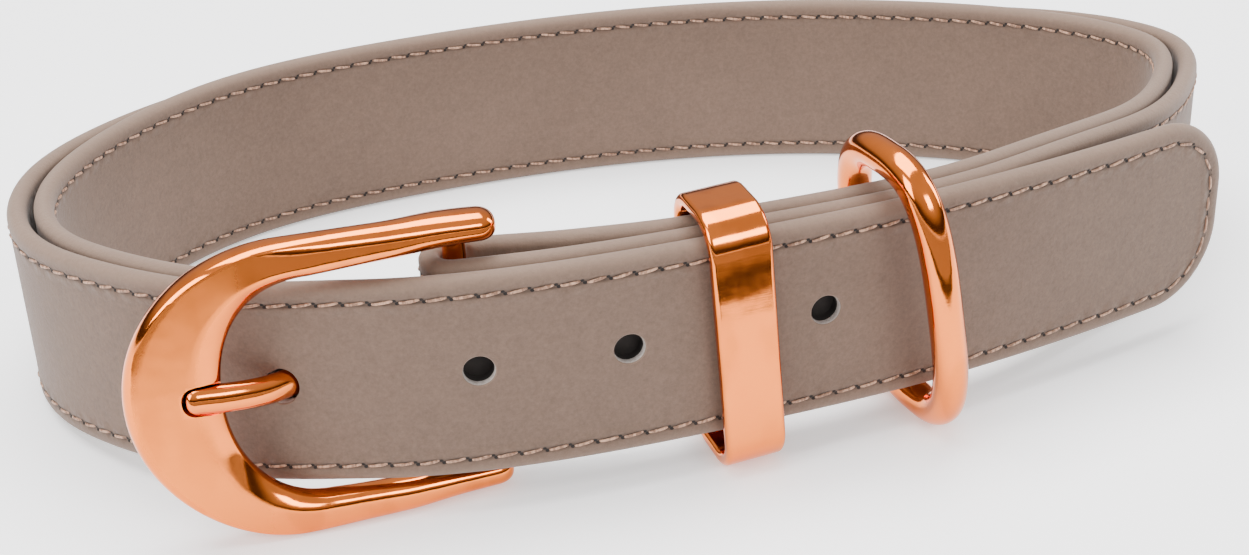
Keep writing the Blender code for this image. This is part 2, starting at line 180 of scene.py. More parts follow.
def read_table(rows, place_column, value_column, place):
    """A value between a table's rows, on a smooth curve that never passes beyond them."""
    table = sorted((row[place_column], row[value_column]) for row in rows)
    places, values = np.array(table, float).T
    gaps = np.diff(places)
    climbs = np.diff(values) / gaps
    slopes = np.zeros(len(places))
    for i in range(1, len(places) - 1):
        before, after = climbs[i - 1], climbs[i]
        if before * after > 0:
            slopes[i] = 2 * before * after / (before + after)
    cell = np.clip(np.searchsorted(places, place) - 1, 0, len(gaps) - 1)
    share = np.clip((place - places[cell]) / gaps[cell], 0.0, 1.0)
    eased = share * share * (3 - 2 * share)
    lean = slopes[cell] * (1 - share) - slopes[cell + 1] * share
    bend = share * (1 - share) * gaps[cell] * lean
    return values[cell] + (values[cell + 1] - values[cell]) * eased + bend


# %% The outer ply's line, carried round the buckle's bar
STRAP_WIDTH = 25.0
PLY = 2.4
PLY_GAP = 0.3
BAR_RADIUS = 1.3
BAR_GAP = 0.3
FOLD_RADIUS = BAR_RADIUS + BAR_GAP + PLY
RETURN_LENGTH = 1.2
BUTT_GAP = 0.15
LINING_START = 127.0

first_turn = Path([(x, y) for _, x, y in ROUTE])
leg = [first_turn.at(s) - first_turn.outward(s) * behind for _, s, behind in MAIN_LEG]
route = Path([(x, y) for _, x, y in ROUTE] + leg)
loop_length = route.length
bar_centre = route.at(loop_length) - route.outward(loop_length) * FOLD_RADIUS


def turned(vector, angle):
    cosine, sine = np.cos(angle), np.sin(angle)
    x = cosine * vector[0] - sine * vector[1]
    y = sine * vector[0] + cosine * vector[1]
    return np.stack([x, y], axis=-1)


def folded(line):
    """The same line with its last stretch wrapped round the bar."""
    out = line.outward(line.length)
    angles = -np.pi * np.arange(1, 61) / 60
    wrap = bar_centre + turned(out, angles) * FOLD_RADIUS
    back = turned(out, -np.pi / 2) * -1.0
    end = wrap[-1] + back * RETURN_LENGTH
    longer = Path([(0.0, 0.0), (1.0, 0.0)])
    longer.points = np.vstack([line.points, wrap, end])
    longer.measure()
    return longer


strap_line = folded(route)
lining_end = loop_length - RETURN_LENGTH - BUTT_GAP
print(f"outer ply {strap_line.length:.1f} mm long, lining {lining_end - LINING_START:.1f} mm")


def lining_share(from_tip):
    return (from_tip - LINING_START) / (lining_end - LINING_START)


# %% [markdown]
# ## The shape of a rolled ply
#
# Each ply is a strip of leather folded over a core and stitched: its long edges are full rounds,
# a stitched channel runs a little way in, and the panel between the channels lies slightly lower.
# All of that depends only on how far a point is from the ply's edge, so one function of that
# distance shapes the straight stretches and the round tip alike.

# %% Distance from the edge, and the profile that follows it
TIP_RADIUS = 10.0
END_RADIUS = 0.8
STITCH_INSET = 2.25
CHANNEL_DEPTH = 0.16
CHANNEL_WIDTH = 0.30
PANEL_DROP = 0.08
ROLL = PLY / 2


def edge_distance(along, height, half, length, start_radius):
    """How far inside the ply's outline a point is. Heights are from the ply's middle line."""
    from_side = half - np.abs(height)
    from_start = along
    from_end = length - along
    radius = np.where(along < length / 2, start_radius, END_RADIUS)
    nearest_end = np.minimum(from_start, from_end)
    in_corner = (from_side < radius) & (nearest_end < radius)
    corner = radius - np.hypot(radius - from_side, radius - nearest_end)
    return np.where(in_corner, corner, np.minimum(from_side, nearest_end))


def face_depth(edge, stitched):
    """How far the ply's face lies below its highest level, by the distance from the edge."""
    edge = np.maximum(edge, 0.0)
    inside = np.clip(ROLL - edge, 0.0, ROLL)
    rounded = ROLL - np.sqrt(np.maximum(ROLL**2 - inside**2, 0.0))
    if not stitched:
        return rounded
    channel = CHANNEL_DEPTH * np.exp(-(((edge - STITCH_INSET) / CHANNEL_WIDTH) ** 2))
    panel = PANEL_DROP * np.clip((edge - STITCH_INSET) / 1.2, 0.0, 1.0)
    return rounded + channel + panel


# Where a section has points, by distance from the edge, closest at the round and the channel
SECTION_PLACES = np.array(
    [0.0, 0.04, 0.13, 0.27, 0.46, 0.7, 0.97, 1.25, 1.55, 1.8]
    + [2.0, 2.15, 2.3, 2.5, 2.75, 3.1, 3.6, 4.6, 6.4, 9.0]
)
# Where rows lie near a ply's ends, by distance from the end, with even steps between them
END_ROWS = [0.0, 0.03, 0.1, 0.22, 0.4, 0.65, 0.95, 1.3]
FINE_LENGTH = 11.0
TAIL_LENGTH = 2.6
TIP_ROWS = np.concatenate([END_ROWS, np.arange(1.7, FINE_LENGTH, 0.45)])
TAIL_ROWS = np.array([2.1, 1.65] + END_ROWS[::-1])
ROW_STEP = 1.05
print("points across half a face:", len(SECTION_PLACES))


# %% [markdown]
# ## A ply as a mesh
#
# The strip is a grid: one row for each step along the strap, and one point for each place in the
# section, up the stitched face and down the other. A UV map keeps, in centimetres, how far along
# each point is and how far from the edge, positive on the stitched face. The leather's shader
# reads it to find the rolled edge and the seam.

# %% Build one ply
class Ply:
    """A strip of leather beside the strap's line, with one stitched face."""

    def __init__(self, name, line, start, end, behind, start_radius, stitched_side, drop):
        self.name = name
        self.line = line
        self.start = start
        self.length = end - start
        self.behind = behind
        self.start_radius = start_radius
        self.stitched_side = stitched_side
        self.drop = drop

    def levels(self, along):
        """Lower and upper edge at distances along the ply."""
        from_tip = self.start + along
        low = read_table(LIFT, 1, 2, np.minimum(from_tip, loop_length))
        return low, low + STRAP_WIDTH - self.drop(from_tip)

    def point(self, along, height, depth):
        """The place at a height from the middle line and a depth from the ply's outer side."""
        from_tip = self.start + along
        low, high = self.levels(along)
        outward = self.line.outward(from_tip)
        place = self.line.at(from_tip) - outward * (self.behind(from_tip) + depth)[..., None]
        z = (low + high) / 2 + height
        return np.concatenate([place, z[..., None]], axis=-1)

    def depth_on(self, side, along, height):
        """Depth of the outer (+1) or inner (-1) face below the ply's outer side."""
        low, high = self.levels(along)
        edge = edge_distance(along, height, (high - low) / 2, self.length, self.start_radius)
        below = face_depth(edge, side == self.stitched_side)
        return (below if side > 0 else PLY - below), edge

    def rows(self):
        """Distances for the rows of the grid, fine at both ends."""
        count = int((self.length - 2 * FINE_LENGTH) / ROW_STEP)
        middle = np.linspace(FINE_LENGTH, self.length - TAIL_LENGTH, count)
        return np.concatenate([TIP_ROWS, middle, self.length - TAIL_ROWS])

    def mesh(self):
        along = self.rows()
        low, high = self.levels(along)
        half = (high - low) / 2
        side = np.concatenate([SECTION_PLACES, STRAP_WIDTH - SECTION_PLACES[::-1]])
        share = side / STRAP_WIDTH * 2 - 1
        span = half.copy()
        near = along < self.start_radius
        gone = self.start_radius - along[near]
        span[near] = half[near] - self.start_radius + np.sqrt(self.start_radius**2 - gone**2)
        last = self.length - along < END_RADIUS
        gone = END_RADIUS - (self.length - along[last])
        span[last] = half[last] - END_RADIUS + np.sqrt(np.maximum(END_RADIUS**2 - gone**2, 0.0))
        heights = span[:, None] * share[None, :]
        runs = np.repeat(along[:, None], len(share), axis=1)
        up = self.point(runs, heights, self.depth_on(1, runs, heights)[0])
        down = self.point(runs, heights, self.depth_on(-1, runs, heights)[0])
        return self.weld(up, down, runs, heights)

    def weld(self, up, down, runs, heights):
        """Joins the two faces along the outline into one closed skin with its UV map."""
        rows, columns = runs.shape
        edge = self.depth_on(1, runs, heights)[1]
        count = rows * columns
        outline = np.zeros((rows, columns), bool)
        outline[[0, -1], :] = True
        outline[:, [0, -1]] = True
        first = np.arange(count).reshape(rows, columns)
        second = np.where(outline, first, first + count)
        faces, marks = [], []
        for face_side, grid in ((1, first), (-1, second)):
            a, b = grid[:-1, :-1].ravel(), grid[:-1, 1:].ravel()
            c, d = grid[1:, 1:].ravel(), grid[1:, :-1].ravel()
            quads = np.stack([a, b, c, d] if face_side > 0 else [a, d, c, b], axis=1)
            faces.append(quads)
            marks.append(np.full(len(quads), 1.0 if face_side == self.stitched_side else -1.0))
        faces, marks = np.vstack(faces), np.concatenate(marks)
        points = np.vstack([up.reshape(-1, 3), down.reshape(-1, 3)])
        body = add_mesh(self.name, points, faces)
        along_of, edge_of = np.tile(runs.ravel(), 2), np.tile(edge.ravel(), 2)
        corners = faces.ravel()
        uv = np.stack([along_of[corners], edge_of[corners] * np.repeat(marks, 4)], axis=1) * 0.1
        layer = body.data.uv_layers.new(name="strap")
        layer.data.foreach_set("uv", uv.astype(np.float32).ravel())
        return body


def add_mesh(name, points, faces):
    """An object from points in millimetres."""
    data = bpy.data.meshes.new(name)
    places = (np.asarray(points) - ORIGIN) * MM
    data.from_pydata(places.tolist(), [], [[int(i) for i in face] for face in faces])
    body = bpy.data.objects.new(name, data)
    bpy.context.scene.collection.objects.link(body)
    data.shade_smooth()
    return body


def clean(body):
    """Merges double points, drops loose ones and turns the skin outward."""
    mesh = bmesh.new()
    mesh.from_mesh(body.data)
    bmesh.ops.remove_doubles(mesh, verts=mesh.verts, dist=1e-7)
    bmesh.ops.delete(mesh, geom=[v for v in mesh.verts if not v.link_faces], context="VERTS")
    bmesh.ops.recalc_face_normals(mesh, faces=mesh.faces)
    mesh.to_mesh(body.data)
    mesh.free()
    return body


# %% The two plies
def outer_drop(from_tip):
    return read_table(TOP_DROP, 1, 2, lining_share(from_tip))


def lining_behind(from_tip):
    return PLY + PLY_GAP + read_table(PLY_OPENING, 1, 2, lining_share(from_tip))


# The outer ply lies on the line itself, and the lining's top isn't lowered
nothing = np.zeros_like
OUTWARD = 1
INWARD = -1
outer_ply = Ply(
    "strap_outer_leather", strap_line, 0.0, strap_line.length, nothing, TIP_RADIUS, OUTWARD, outer_drop
)
lining_ply = Ply(
    "strap_lining_leather", route, LINING_START, lining_end, lining_behind, END_RADIUS, INWARD, nothing
)
outer_body = clean(outer_ply.mesh())
lining_body = clean(lining_ply.mesh())
print("leather faces:", len(outer_body.data.polygons), len(lining_body.data.polygons))


# %% [markdown]
# ## Lofted metal
#
# Castings and bent wire are lofts: rings of points joined into a skin. One helper joins any list of
# rings, open with two caps or closed on itself, and the pieces only say where their rings go.

# %% Loft rings into a skin
def loft(name, rings, closed=False):
    rings = np.array(rings, float)
    count, sides = rings.shape[:2]
    grid = np.arange(count * sides).reshape(count, sides)
    following = np.roll(grid, -1, axis=0) if closed else grid[1:]
    start = grid if closed else grid[:-1]
    a, b = start, np.roll(start, -1, axis=1)
    d, c = following, np.roll(following, -1, axis=1)
    faces = np.stack([a.ravel(), b.ravel(), c.ravel(), d.ravel()], axis=1).tolist()
    if not closed:
        faces.append(grid[0][::-1].tolist())
        faces.append(grid[-1].tolist())
    return clean(add_mesh(name, rings.reshape(-1, 3), faces))


def rod(name, centre, radius, low, high, sides=48, end=0.6):
    """A round rod on end, with a ring of points a little way in from each end."""
    angles = 2 * np.pi * np.arange(sides) / sides
    x = centre[0] + radius * np.cos(angles)
    y = centre[1] + radius * np.sin(angles)
    levels = (low, low + end, high - end, high)
    return loft(name, [np.stack([x, y, np.full(sides, z)], axis=1) for z in levels])


def cut(body, other, operation="DIFFERENCE"):
    """Applies a Boolean and removes the other object."""
    change = body.modifiers.new("boolean", "BOOLEAN")
    change.operation = operation
    change.object = other
    change.solver = "EXACT"
    bpy.context.view_layer.update()
    result = bpy.data.meshes.new_from_object(body.evaluated_get(bpy.context.evaluated_depsgraph_get()))
    body.modifiers.clear()
    body.data = result
    bpy.data.objects.remove(other, do_unlink=True)


# %% [markdown]
# ## The buckle
#
# The frame is a horseshoe casting. Its arms are nearly round bars that end in small knobs beside the
# bar, and a superellipse draws their section: with a low power it is round, with a high one flatter.
# Towards the round end it blends into a section of its own, which has a flat face, a narrow roll
# outside and a wide polished roll inside. The tongue is a loft too, with a hollow round the bar.

# %% Frame sizes and outline
FRAME_HEIGHT = 36.3
FRAME_END_X = -64.2
WINDOW_HEIGHT = 27.4
WINDOW_END_X = -53.7
WINDOW_ROUND_X = -43.0
WINDOW_ROUNDNESS = 2.2
ARMS_CLOSE = {1: 1.25, -1: 0.4}
ARM_END_X = -22.4
ARM_END_HEIGHT = 3.4
ARM_SECTIONS = [
    # place           x       y    thickness  squareness
    ("free end", -22.4, -39.0, 4.6, 2.2),
    ("bar", -27.7, -39.5, 4.8, 2.2),
    ("arm", -35.0, -41.2, 4.0, 2.3),
    ("shoulder", -48.0, -42.2, 3.6, 3.0),
    ("frame end", -64.2, -41.4, 3.2, 4.0),
]
FRAME_SIDES = 48
KNOB_LENGTH = 2.0


def signed_power(value, power):
    return np.sign(value) * np.abs(value) ** power


def frame_shape(x):
    return [float(read_table(ARM_SECTIONS, 1, value, x)) for value in (2, 3, 4)]


def frame_outline(turn):
    half = FRAME_HEIGHT / 2
    cosine, sine = math.cos(turn), math.sin(turn)
    outer = (FRAME_END_X + half + half * cosine, half * sine)
    power = 2 / WINDOW_ROUNDNESS
    reach = WINDOW_ROUND_X - WINDOW_END_X
    inner_x = WINDOW_ROUND_X - reach * abs(cosine) ** power
    return outer, (inner_x, WINDOW_HEIGHT / 2 * signed_power(sine, power))


def arm_outline(x, side):
    half = FRAME_HEIGHT / 2
    root = FRAME_END_X + half
    share = (x - root) / (ARM_END_X - root)
    height = (FRAME_HEIGHT - WINDOW_HEIGHT) / 2
    thin = height + (ARM_END_HEIGHT - height) * share
    half -= ARMS_CLOSE[side] * share * share
    lean = (WINDOW_ROUND_X - root) * (1 - share) ** 2
    return (x, side * half), (x + lean, side * (half - thin))


def corner(start, wide, count, crease):
    """A rounded shoulder from the face, at height 1, down to the side, at height 0."""
    angles = np.linspace(crease, math.pi / 2, count)
    reach = (1 - np.sin(angles)) / (1 - math.sin(crease))
    return np.stack([start * (1 - wide * reach), np.cos(angles) / math.cos(crease)], axis=1)


def flat_section():
    """The round end's section: a flat face forward, a wide roll inside and a narrow one outside."""
    inner = corner(-1.0, INNER_ROLL, 11, math.radians(48)) * (1, -1)
    outer = corner(1.0, OUTER_ROLL, 7, math.radians(20)) * (1, -1)
    across = np.linspace(-1 + INNER_ROLL, 1 - OUTER_ROLL, 9)[1:-1]
    front = np.vstack([inner[::-1], np.stack([across, -np.ones(7)], axis=1), outer[:-1]])
    angles = np.pi * np.arange(FRAME_SIDES - len(front)) / (FRAME_SIDES - len(front))
    rear = np.stack([signed_power(np.cos(angles), 0.6), signed_power(np.sin(angles), 0.6)], axis=1)
    return np.vstack([rear, front])


INNER_ROLL = 0.58
OUTER_ROLL = 0.20
FLAT_FROM_X = -39.0
FLAT_TO_X = -52.0
FLAT_SECTION = flat_section()


def frame_ring(outer, inner, size=1.0):
    """A section of the frame, across from its outer to its inner point."""
    outer, inner = np.array(outer), np.array(inner)
    middle, across = (outer + inner) / 2, (outer - inner) / 2 * size
    y, thickness, squareness = frame_shape(middle[0])
    angles = 2 * np.pi * np.arange(FRAME_SIDES) / FRAME_SIDES
    wide = signed_power(np.cos(angles), 2 / squareness)
    deep = signed_power(np.sin(angles), 2 / squareness)
    flat = np.clip((FLAT_FROM_X - middle[0]) / (FLAT_FROM_X - FLAT_TO_X), 0.0, 1.0)
    flat = flat * flat * (3 - 2 * flat)
    wide = wide + (FLAT_SECTION[:, 0] - wide) * flat
    deep = deep + (FLAT_SECTION[:, 1] - deep) * flat
    x = middle[0] + across[0] * wide
    height = middle[1] + across[1] * wide
    return np.stack([x, y + thickness / 2 * size * deep, FRAME_HEIGHT / 2 + height], axis=1)


def arm_rings(side):
    rings = []
    for turn in np.linspace(4, 84, 11):
        angle = math.radians(turn)
        x = ARM_END_X - KNOB_LENGTH + KNOB_LENGTH * math.cos(angle)
        rings.append(frame_ring(*arm_outline(x, side), size=math.sin(angle) ** 0.7))
    for x in np.linspace(ARM_END_X - KNOB_LENGTH, FRAME_END_X + FRAME_HEIGHT / 2, 34)[:-1]:
        rings.append(frame_ring(*arm_outline(x, side)))
    return rings


# %% Tongue sizes
TONGUE = [
    # place          x      y   thick  high
    ("eye", -28.6, -37.7, 2.0, 3.0),
    ("behind the strap", -38.5, -37.2, 2.4, 3.2),
    ("entering the hole", -44.0, -37.7, 2.4, 3.3),
    ("leaving the hole", -48.4, -40.6, 2.6, 3.4),
    ("on the rest", -53.5, -42.3, 2.6, 3.4),
    ("tip", -56.4, -42.8, 2.4, 3.2),
]
TONGUE_Z = 17.1
TONGUE_RISE = 1.8
TONGUE_BEND = 0.55
TONGUE_GAP = 0.3
EYE_WALL = 1.1
EYE_HEIGHT = 3.4
SLOT_HEIGHT = 4.4
TONGUE_SIDES = 32


def tongue_ring(line, distance, spare, size, beyond=0.0):
    place = line.at(distance)
    outward = line.outward(distance)
    along = np.array([outward[1], -outward[0]])
    thick = (read_table(TONGUE, 1, 3, place[0]) / 2 + spare) * size
    high = (read_table(TONGUE, 1, 4, place[0]) / 2 + spare) * size
    centre = place + along * beyond * (1 + spare)
    level = TONGUE_Z + TONGUE_RISE * max(0.0, distance / line.length - TONGUE_BEND) / (1 - TONGUE_BEND)
    angles = 2 * np.pi * (np.arange(TONGUE_SIDES) + 0.5) / TONGUE_SIDES
    xy = centre + outward * (thick * np.cos(angles))[:, None]
    return np.concatenate([xy, (level + high * np.sin(angles))[:, None]], axis=1)


def tongue_shaft(name, spare=0.0):
    line = Path([(x, y) for _, x, y, _, _ in TONGUE])
    rings = [tongue_ring(line, s, spare, 1.0) for s in np.linspace(0.0, line.length, 60)]
    for turn in np.linspace(10, 86, 9):
        angle = math.radians(turn)
        size, beyond = math.cos(angle) ** 0.8, math.sin(angle) * 1.3
        rings.append(tongue_ring(line, line.length, spare, size, beyond))
    return loft(name, rings)


# %% Cast the frame and hang the tongue
def arm_middle(side):
    """Height of an arm's middle where the bar meets it."""
    outer, inner = arm_outline(bar_centre[0], side)
    return FRAME_HEIGHT / 2 + (outer[1] + inner[1]) / 2


round_end = []
for turn in np.linspace(math.pi / 2, 3 * math.pi / 2, 97):
    outer, inner = frame_outline(turn)
    round_end.append(frame_ring(outer, inner))
frame_body = loft("buckle_frame_copper", arm_rings(1) + round_end + arm_rings(-1)[::-1])
bar = rod("bar", bar_centre, BAR_RADIUS, arm_middle(-1), arm_middle(1))
cut(frame_body, bar, "UNION")
cut(frame_body, tongue_shaft("rest", TONGUE_GAP))

tongue_body = tongue_shaft("buckle_tongue_copper")
bore = BAR_RADIUS + BAR_GAP
eye = rod("eye", bar_centre, bore + EYE_WALL, TONGUE_Z - EYE_HEIGHT / 2, TONGUE_Z + EYE_HEIGHT / 2)
cut(tongue_body, eye, "UNION")
cut(tongue_body, rod("bore", bar_centre, bore, TONGUE_Z - EYE_HEIGHT, TONGUE_Z + EYE_HEIGHT))
print("buckle faces:", len(frame_body.data.polygons), len(tongue_body.data.polygons))


# %% [markdown]
# ## Keeper and ring
#
# The keeper is a flat band bent to a rounded oblong, and the ring is round wire bent to an oval.
# Both stand across the strap, so one function turns depth, reach and height there into a place.

# %% Keeper and leash ring
KEEPER_AT = 69.1
KEEPER_FORWARD = 0.3
KEEPER_WIDTH = 7.3
KEEPER_SHEET = 1.5
KEEPER_HEIGHT = 33.0
KEEPER_DEPTH = 12.7
KEEPER_CORNER = 4.6
KEEPER_LEAN = math.radians(-3.5)
KEEPER_EASE = 0.6
KEEPER_BULGE = 0.22
RING_AT = 47.6
RING_FORWARD = 1.4
RING_WIRE = 4.1
RING_HEIGHT = 37.2
RING_DEPTH = 22.5
RING_SQUARENESS = 3.0
RING_TURN = math.radians(2.0)
RING_LEAN = math.radians(-9.0)


def standing(from_tip, forward, turn, lean):
    """A function that places depth, reach along the strap and height at a place in front."""
    out = turned(route.outward(from_tip), turn)
    along = np.array([-out[1], out[0]])
    middle = route.at(from_tip) + route.outward(from_tip) * (forward - 1.5 * PLY - 2 * PLY_GAP)

    def place(depth, across, height):
        shift = across * math.cos(lean) + height * math.sin(lean)
        rise = height * math.cos(lean) - across * math.sin(lean)
        return (*(middle + out * depth + along * shift), rise)

    return place


def rest_on_floor(rings):
    rings = np.array(rings)
    rings[..., 2] -= rings[..., 2].min()
    return rings


def band_section():
    """The band's section with rounded edges: (inset from the outer side, reach across)."""
    half = KEEPER_WIDTH / 2
    corners = [(0.0, 1), (KEEPER_SHEET, 1), (KEEPER_SHEET, -1), (0.0, -1)]
    points = []
    for i, (level, side) in enumerate(corners):
        inward = 1 if level == 0.0 else -1
        centre = (level + inward * KEEPER_EASE, side * (half - KEEPER_EASE))
        for turn in np.linspace(0.0, math.pi / 2, 7):
            swing = turn if i % 2 == 0 else math.pi / 2 - turn
            inset = centre[0] - inward * KEEPER_EASE * math.cos(swing)
            across = centre[1] + side * KEEPER_EASE * math.sin(swing)
            points.append((inset, across))
    return points


def keeper_bulge(inset, across):
    """How far the keeper's outer side stands proud, most along its middle."""
    if inset >= KEEPER_SHEET / 2:
        return 0.0
    return KEEPER_BULGE * (1 - (across / (KEEPER_WIDTH / 2)) ** 2)


keeper_place = standing(KEEPER_AT, KEEPER_FORWARD, 0.0, KEEPER_LEAN)
keeper_rings = []
for quarter, (side_y, side_z) in enumerate([(1, 1), (-1, 1), (-1, -1), (1, -1)]):
    for angle in np.linspace(0.0, math.pi / 2, 19):
        direction = angle + quarter * math.pi / 2
        ring = []
        for inset, across in band_section():
            radius = KEEPER_CORNER - inset + keeper_bulge(inset, across)
            depth = side_y * (KEEPER_DEPTH / 2 - KEEPER_CORNER) + radius * math.cos(direction)
            height = side_z * (KEEPER_HEIGHT / 2 - KEEPER_CORNER) + radius * math.sin(direction)
            ring.append(keeper_place(depth, across, height))
        keeper_rings.append(ring)
keeper_body = loft("keeper_copper", rest_on_floor(keeper_rings), closed=True)

ring_place = standing(RING_AT, RING_FORWARD, RING_TURN, RING_LEAN)
ring_rings = []
wire = RING_WIRE / 2
tall, deep = RING_HEIGHT / 2 - wire, RING_DEPTH / 2 - wire
for turn in 2 * np.pi * np.arange(160) / 160:
    wide, high = signed_power(np.array([math.cos(turn), math.sin(turn)]), 2 / RING_SQUARENESS)
    normal = signed_power(np.array([wide, high]), RING_SQUARENESS - 1) / (deep, tall)
    normal /= np.linalg.norm(normal)
    ring = []
    for angle in 2 * np.pi * np.arange(32) / 32:
        out, across = wire * math.cos(angle), wire * math.sin(angle)
        ring.append(ring_place(deep * wide + normal[0] * out, across, tall * high + normal[1] * out))
    ring_rings.append(ring)
ring_body = loft("leash_ring_copper", rest_on_floor(ring_rings), closed=True)
print("keeper and ring faces:", len(keeper_body.data.polygons), len(ring_body.data.polygons))


# %% [markdown]
# ## Punched holes
#
# A punch leaves a crisp mouth whose lip turns in slightly. A cutter with a flared mouth gives that
# lip real geometry, so light catches its lower side as on the real leather.

# %% Punch the strap
HOLES = [58.8, 82.3, 99.2]
HOLE_DIAMETER = 3.5
HOLE_RISE = 0.9
HOLE_FLARE = 0.22
CUT_DEPTH = 0.9
TONGUE_HOLE = 121.4
TONGUE_HOLE_DIAMETER = 3.9
ALL_HOLES = [(hole, HOLE_DIAMETER) for hole in HOLES] + [(TONGUE_HOLE, TONGUE_HOLE_DIAMETER)]
# The punch's outline, from in front of the face to behind the ply
PUNCH_PROFILE = [
    # height  wider
    (1.2, 1.5),
    (0.3, HOLE_FLARE + 0.3),
    (0.0, HOLE_FLARE),
    (-0.15, 0.07),
    (-0.4, 0.0),
    (-CUT_DEPTH, 0.0),
    (-PLY - 0.25, 0.0),
]


def hole_height(from_tip):
    rise = 0.0 if from_tip == TONGUE_HOLE else HOLE_RISE
    return float(read_table(LIFT, 1, 2, from_tip)) + STRAP_WIDTH / 2 + rise


def on_face(from_tip):
    """A place on the outer ply's face, with its outward and lengthwise directions."""
    outward = route.outward(from_tip)
    return route.at(from_tip), outward, np.array([-outward[1], outward[0]])


def punch(from_tip, diameter):
    """A flared cutter through the outer ply."""
    place, outward, along = on_face(from_tip)
    angles = 2 * np.pi * np.arange(48) / 48
    rings = []
    for height, wider in PUNCH_PROFILE:
        radius = diameter / 2 + wider
        xy = place + outward * (height - PANEL_DROP) + along * (np.cos(angles) * radius)[:, None]
        z = hole_height(from_tip) + np.sin(angles) * radius
        rings.append(np.concatenate([xy, z[:, None]], axis=1))
    return loft("punch", rings)


def slot_box():
    """The slot in the fold that the tongue's eye turns in."""
    reach = FOLD_RADIUS + 1.0
    low = (bar_centre[0] - reach, bar_centre[1] - reach + 0.4, TONGUE_Z - SLOT_HEIGHT / 2)
    high = (bar_centre[0] + FOLD_RADIUS - 0.8, bar_centre[1] + reach, TONGUE_Z + SLOT_HEIGHT / 2)
    corners = [(low[0], low[1]), (high[0], low[1]), (high[0], high[1]), (low[0], high[1])]
    return loft("slot", [[(x, y, z) for x, y in corners] for z in (low[2], high[2])])


for from_tip, diameter in ALL_HOLES:
    cut(outer_body, punch(from_tip, diameter))
cut(outer_body, tongue_shaft("tongue_way", TONGUE_GAP))
cut(outer_body, slot_box())
cut(lining_body, slot_box())
print("outer ply after punching:", len(outer_body.data.polygons), "faces")


# %% Shadows at the bottom of the holes
SHADOW_RISE = 0.35
SHADOW_MARGIN = 0.45
SHADOW_SIDES = 32


def hole_shadows():
    """A dark disc deep in each hole, since the layers behind it see no light."""
    points, faces = [], []
    for from_tip, diameter in ALL_HOLES:
        place, outward, along = on_face(from_tip)
        centre = place - outward * (PLY - SHADOW_RISE)
        radius = diameter / 2 + SHADOW_MARGIN
        base = len(points)
        for angle in 2 * np.pi * np.arange(SHADOW_SIDES) / SHADOW_SIDES:
            xy = centre + along * math.cos(angle) * radius
            points.append((*xy, hole_height(from_tip) + math.sin(angle) * radius))
        faces.append(list(range(base, base + SHADOW_SIDES)))
    return add_mesh("hole_shadows", points, faces)


def hole_finishes(body):
    """Finish numbers of the ply's faces: 1 deep in a hole, painted dark as shade, 2 on the fresh cut at
    its mouth, else 0.
    """
    centres = np.empty(len(body.data.polygons) * 3)
    body.data.polygons.foreach_get("center", centres)
    centres = centres.reshape(-1, 3) / MM + ORIGIN
    finishes = np.zeros(len(centres), np.int32)
    for from_tip, diameter in ALL_HOLES:
        place, outward, along = on_face(from_tip)
        offset = centres[:, :2] - place
        below = -(offset @ outward)
        away = np.hypot(offset @ along, centres[:, 2] - hole_height(from_tip))
        wall = (away < diameter / 2 + 0.04) & (below > 0.3) & (below < PLY - 0.02)
        finishes[wall] = np.where(below[wall] < CUT_DEPTH, 2, 1)
    return finishes


shadow_body = hole_shadows()
print("holes with a shadow:", len(shadow_body.data.polygons))


# %% [markdown]
# ## Stitches
#
# Thread is modelled, not painted: each stitch is a short bowed bead of thread that dips into a
# needle hole at both ends and leans a little, as saddle stitching does. The seam is a line in the
# ply's own flat outline, so the same walk goes along both edges and round the tip.

# %% Walk along the seam
STITCH_PITCH = 2.9
STITCH_LENGTH = 2.4
THREAD_RADIUS = 0.17
THREAD_SUNK = 0.02
STITCH_LEAN = 0.15
STITCH_DIP = 0.24
# A stitch's direction is read this far on either side of it
STITCH_LOOK = 0.6
THREAD_SIDES = 8
NEEDLE_RADIUS = 0.22
NEEDLE_PROUD = 0.02
NEEDLE_SIDES = 10


def seam_walk(ply):
    """Each stitch's place and direction, along one edge, round the ply's start and back."""
    far = ply.length - STITCH_INSET
    radius = max(ply.start_radius - STITCH_INSET, 0.05)
    start = STITCH_INSET + radius

    def level(along, side):
        low, high = ply.levels(np.array(along))
        return side * ((high - low) / 2 - STITCH_INSET)

    top = [(s, level(s, 1)) for s in np.arange(far, start, -0.5)]
    top_corner, low_corner = level(start, 1) - radius, level(start, -1) + radius
    quarter = np.linspace(0, math.pi / 2, 24)
    upper = [(start - radius * math.sin(a), top_corner + radius * math.cos(a)) for a in quarter]
    lower = [(start - radius * math.cos(a), low_corner - radius * math.sin(a)) for a in quarter]
    bottom = [(s, level(s, -1)) for s in np.arange(start, far, 0.5)]
    walk = np.array([(s, float(h)) for s, h in top + upper + lower + bottom])
    runs = np.concatenate([[0.0], np.cumsum(np.linalg.norm(np.diff(walk, axis=0), axis=1))])
    count = int(runs[-1] / STITCH_PITCH)
    stops = (np.arange(count) + 0.5) * runs[-1] / count

    def place_at(distances):
        return np.stack([np.interp(distances, runs, walk[:, i]) for i in (0, 1)], axis=1)

    directions = place_at(stops + STITCH_LOOK) - place_at(stops - STITCH_LOOK)
    directions /= np.linalg.norm(directions, axis=1)[:, None]
    return place_at(stops), directions


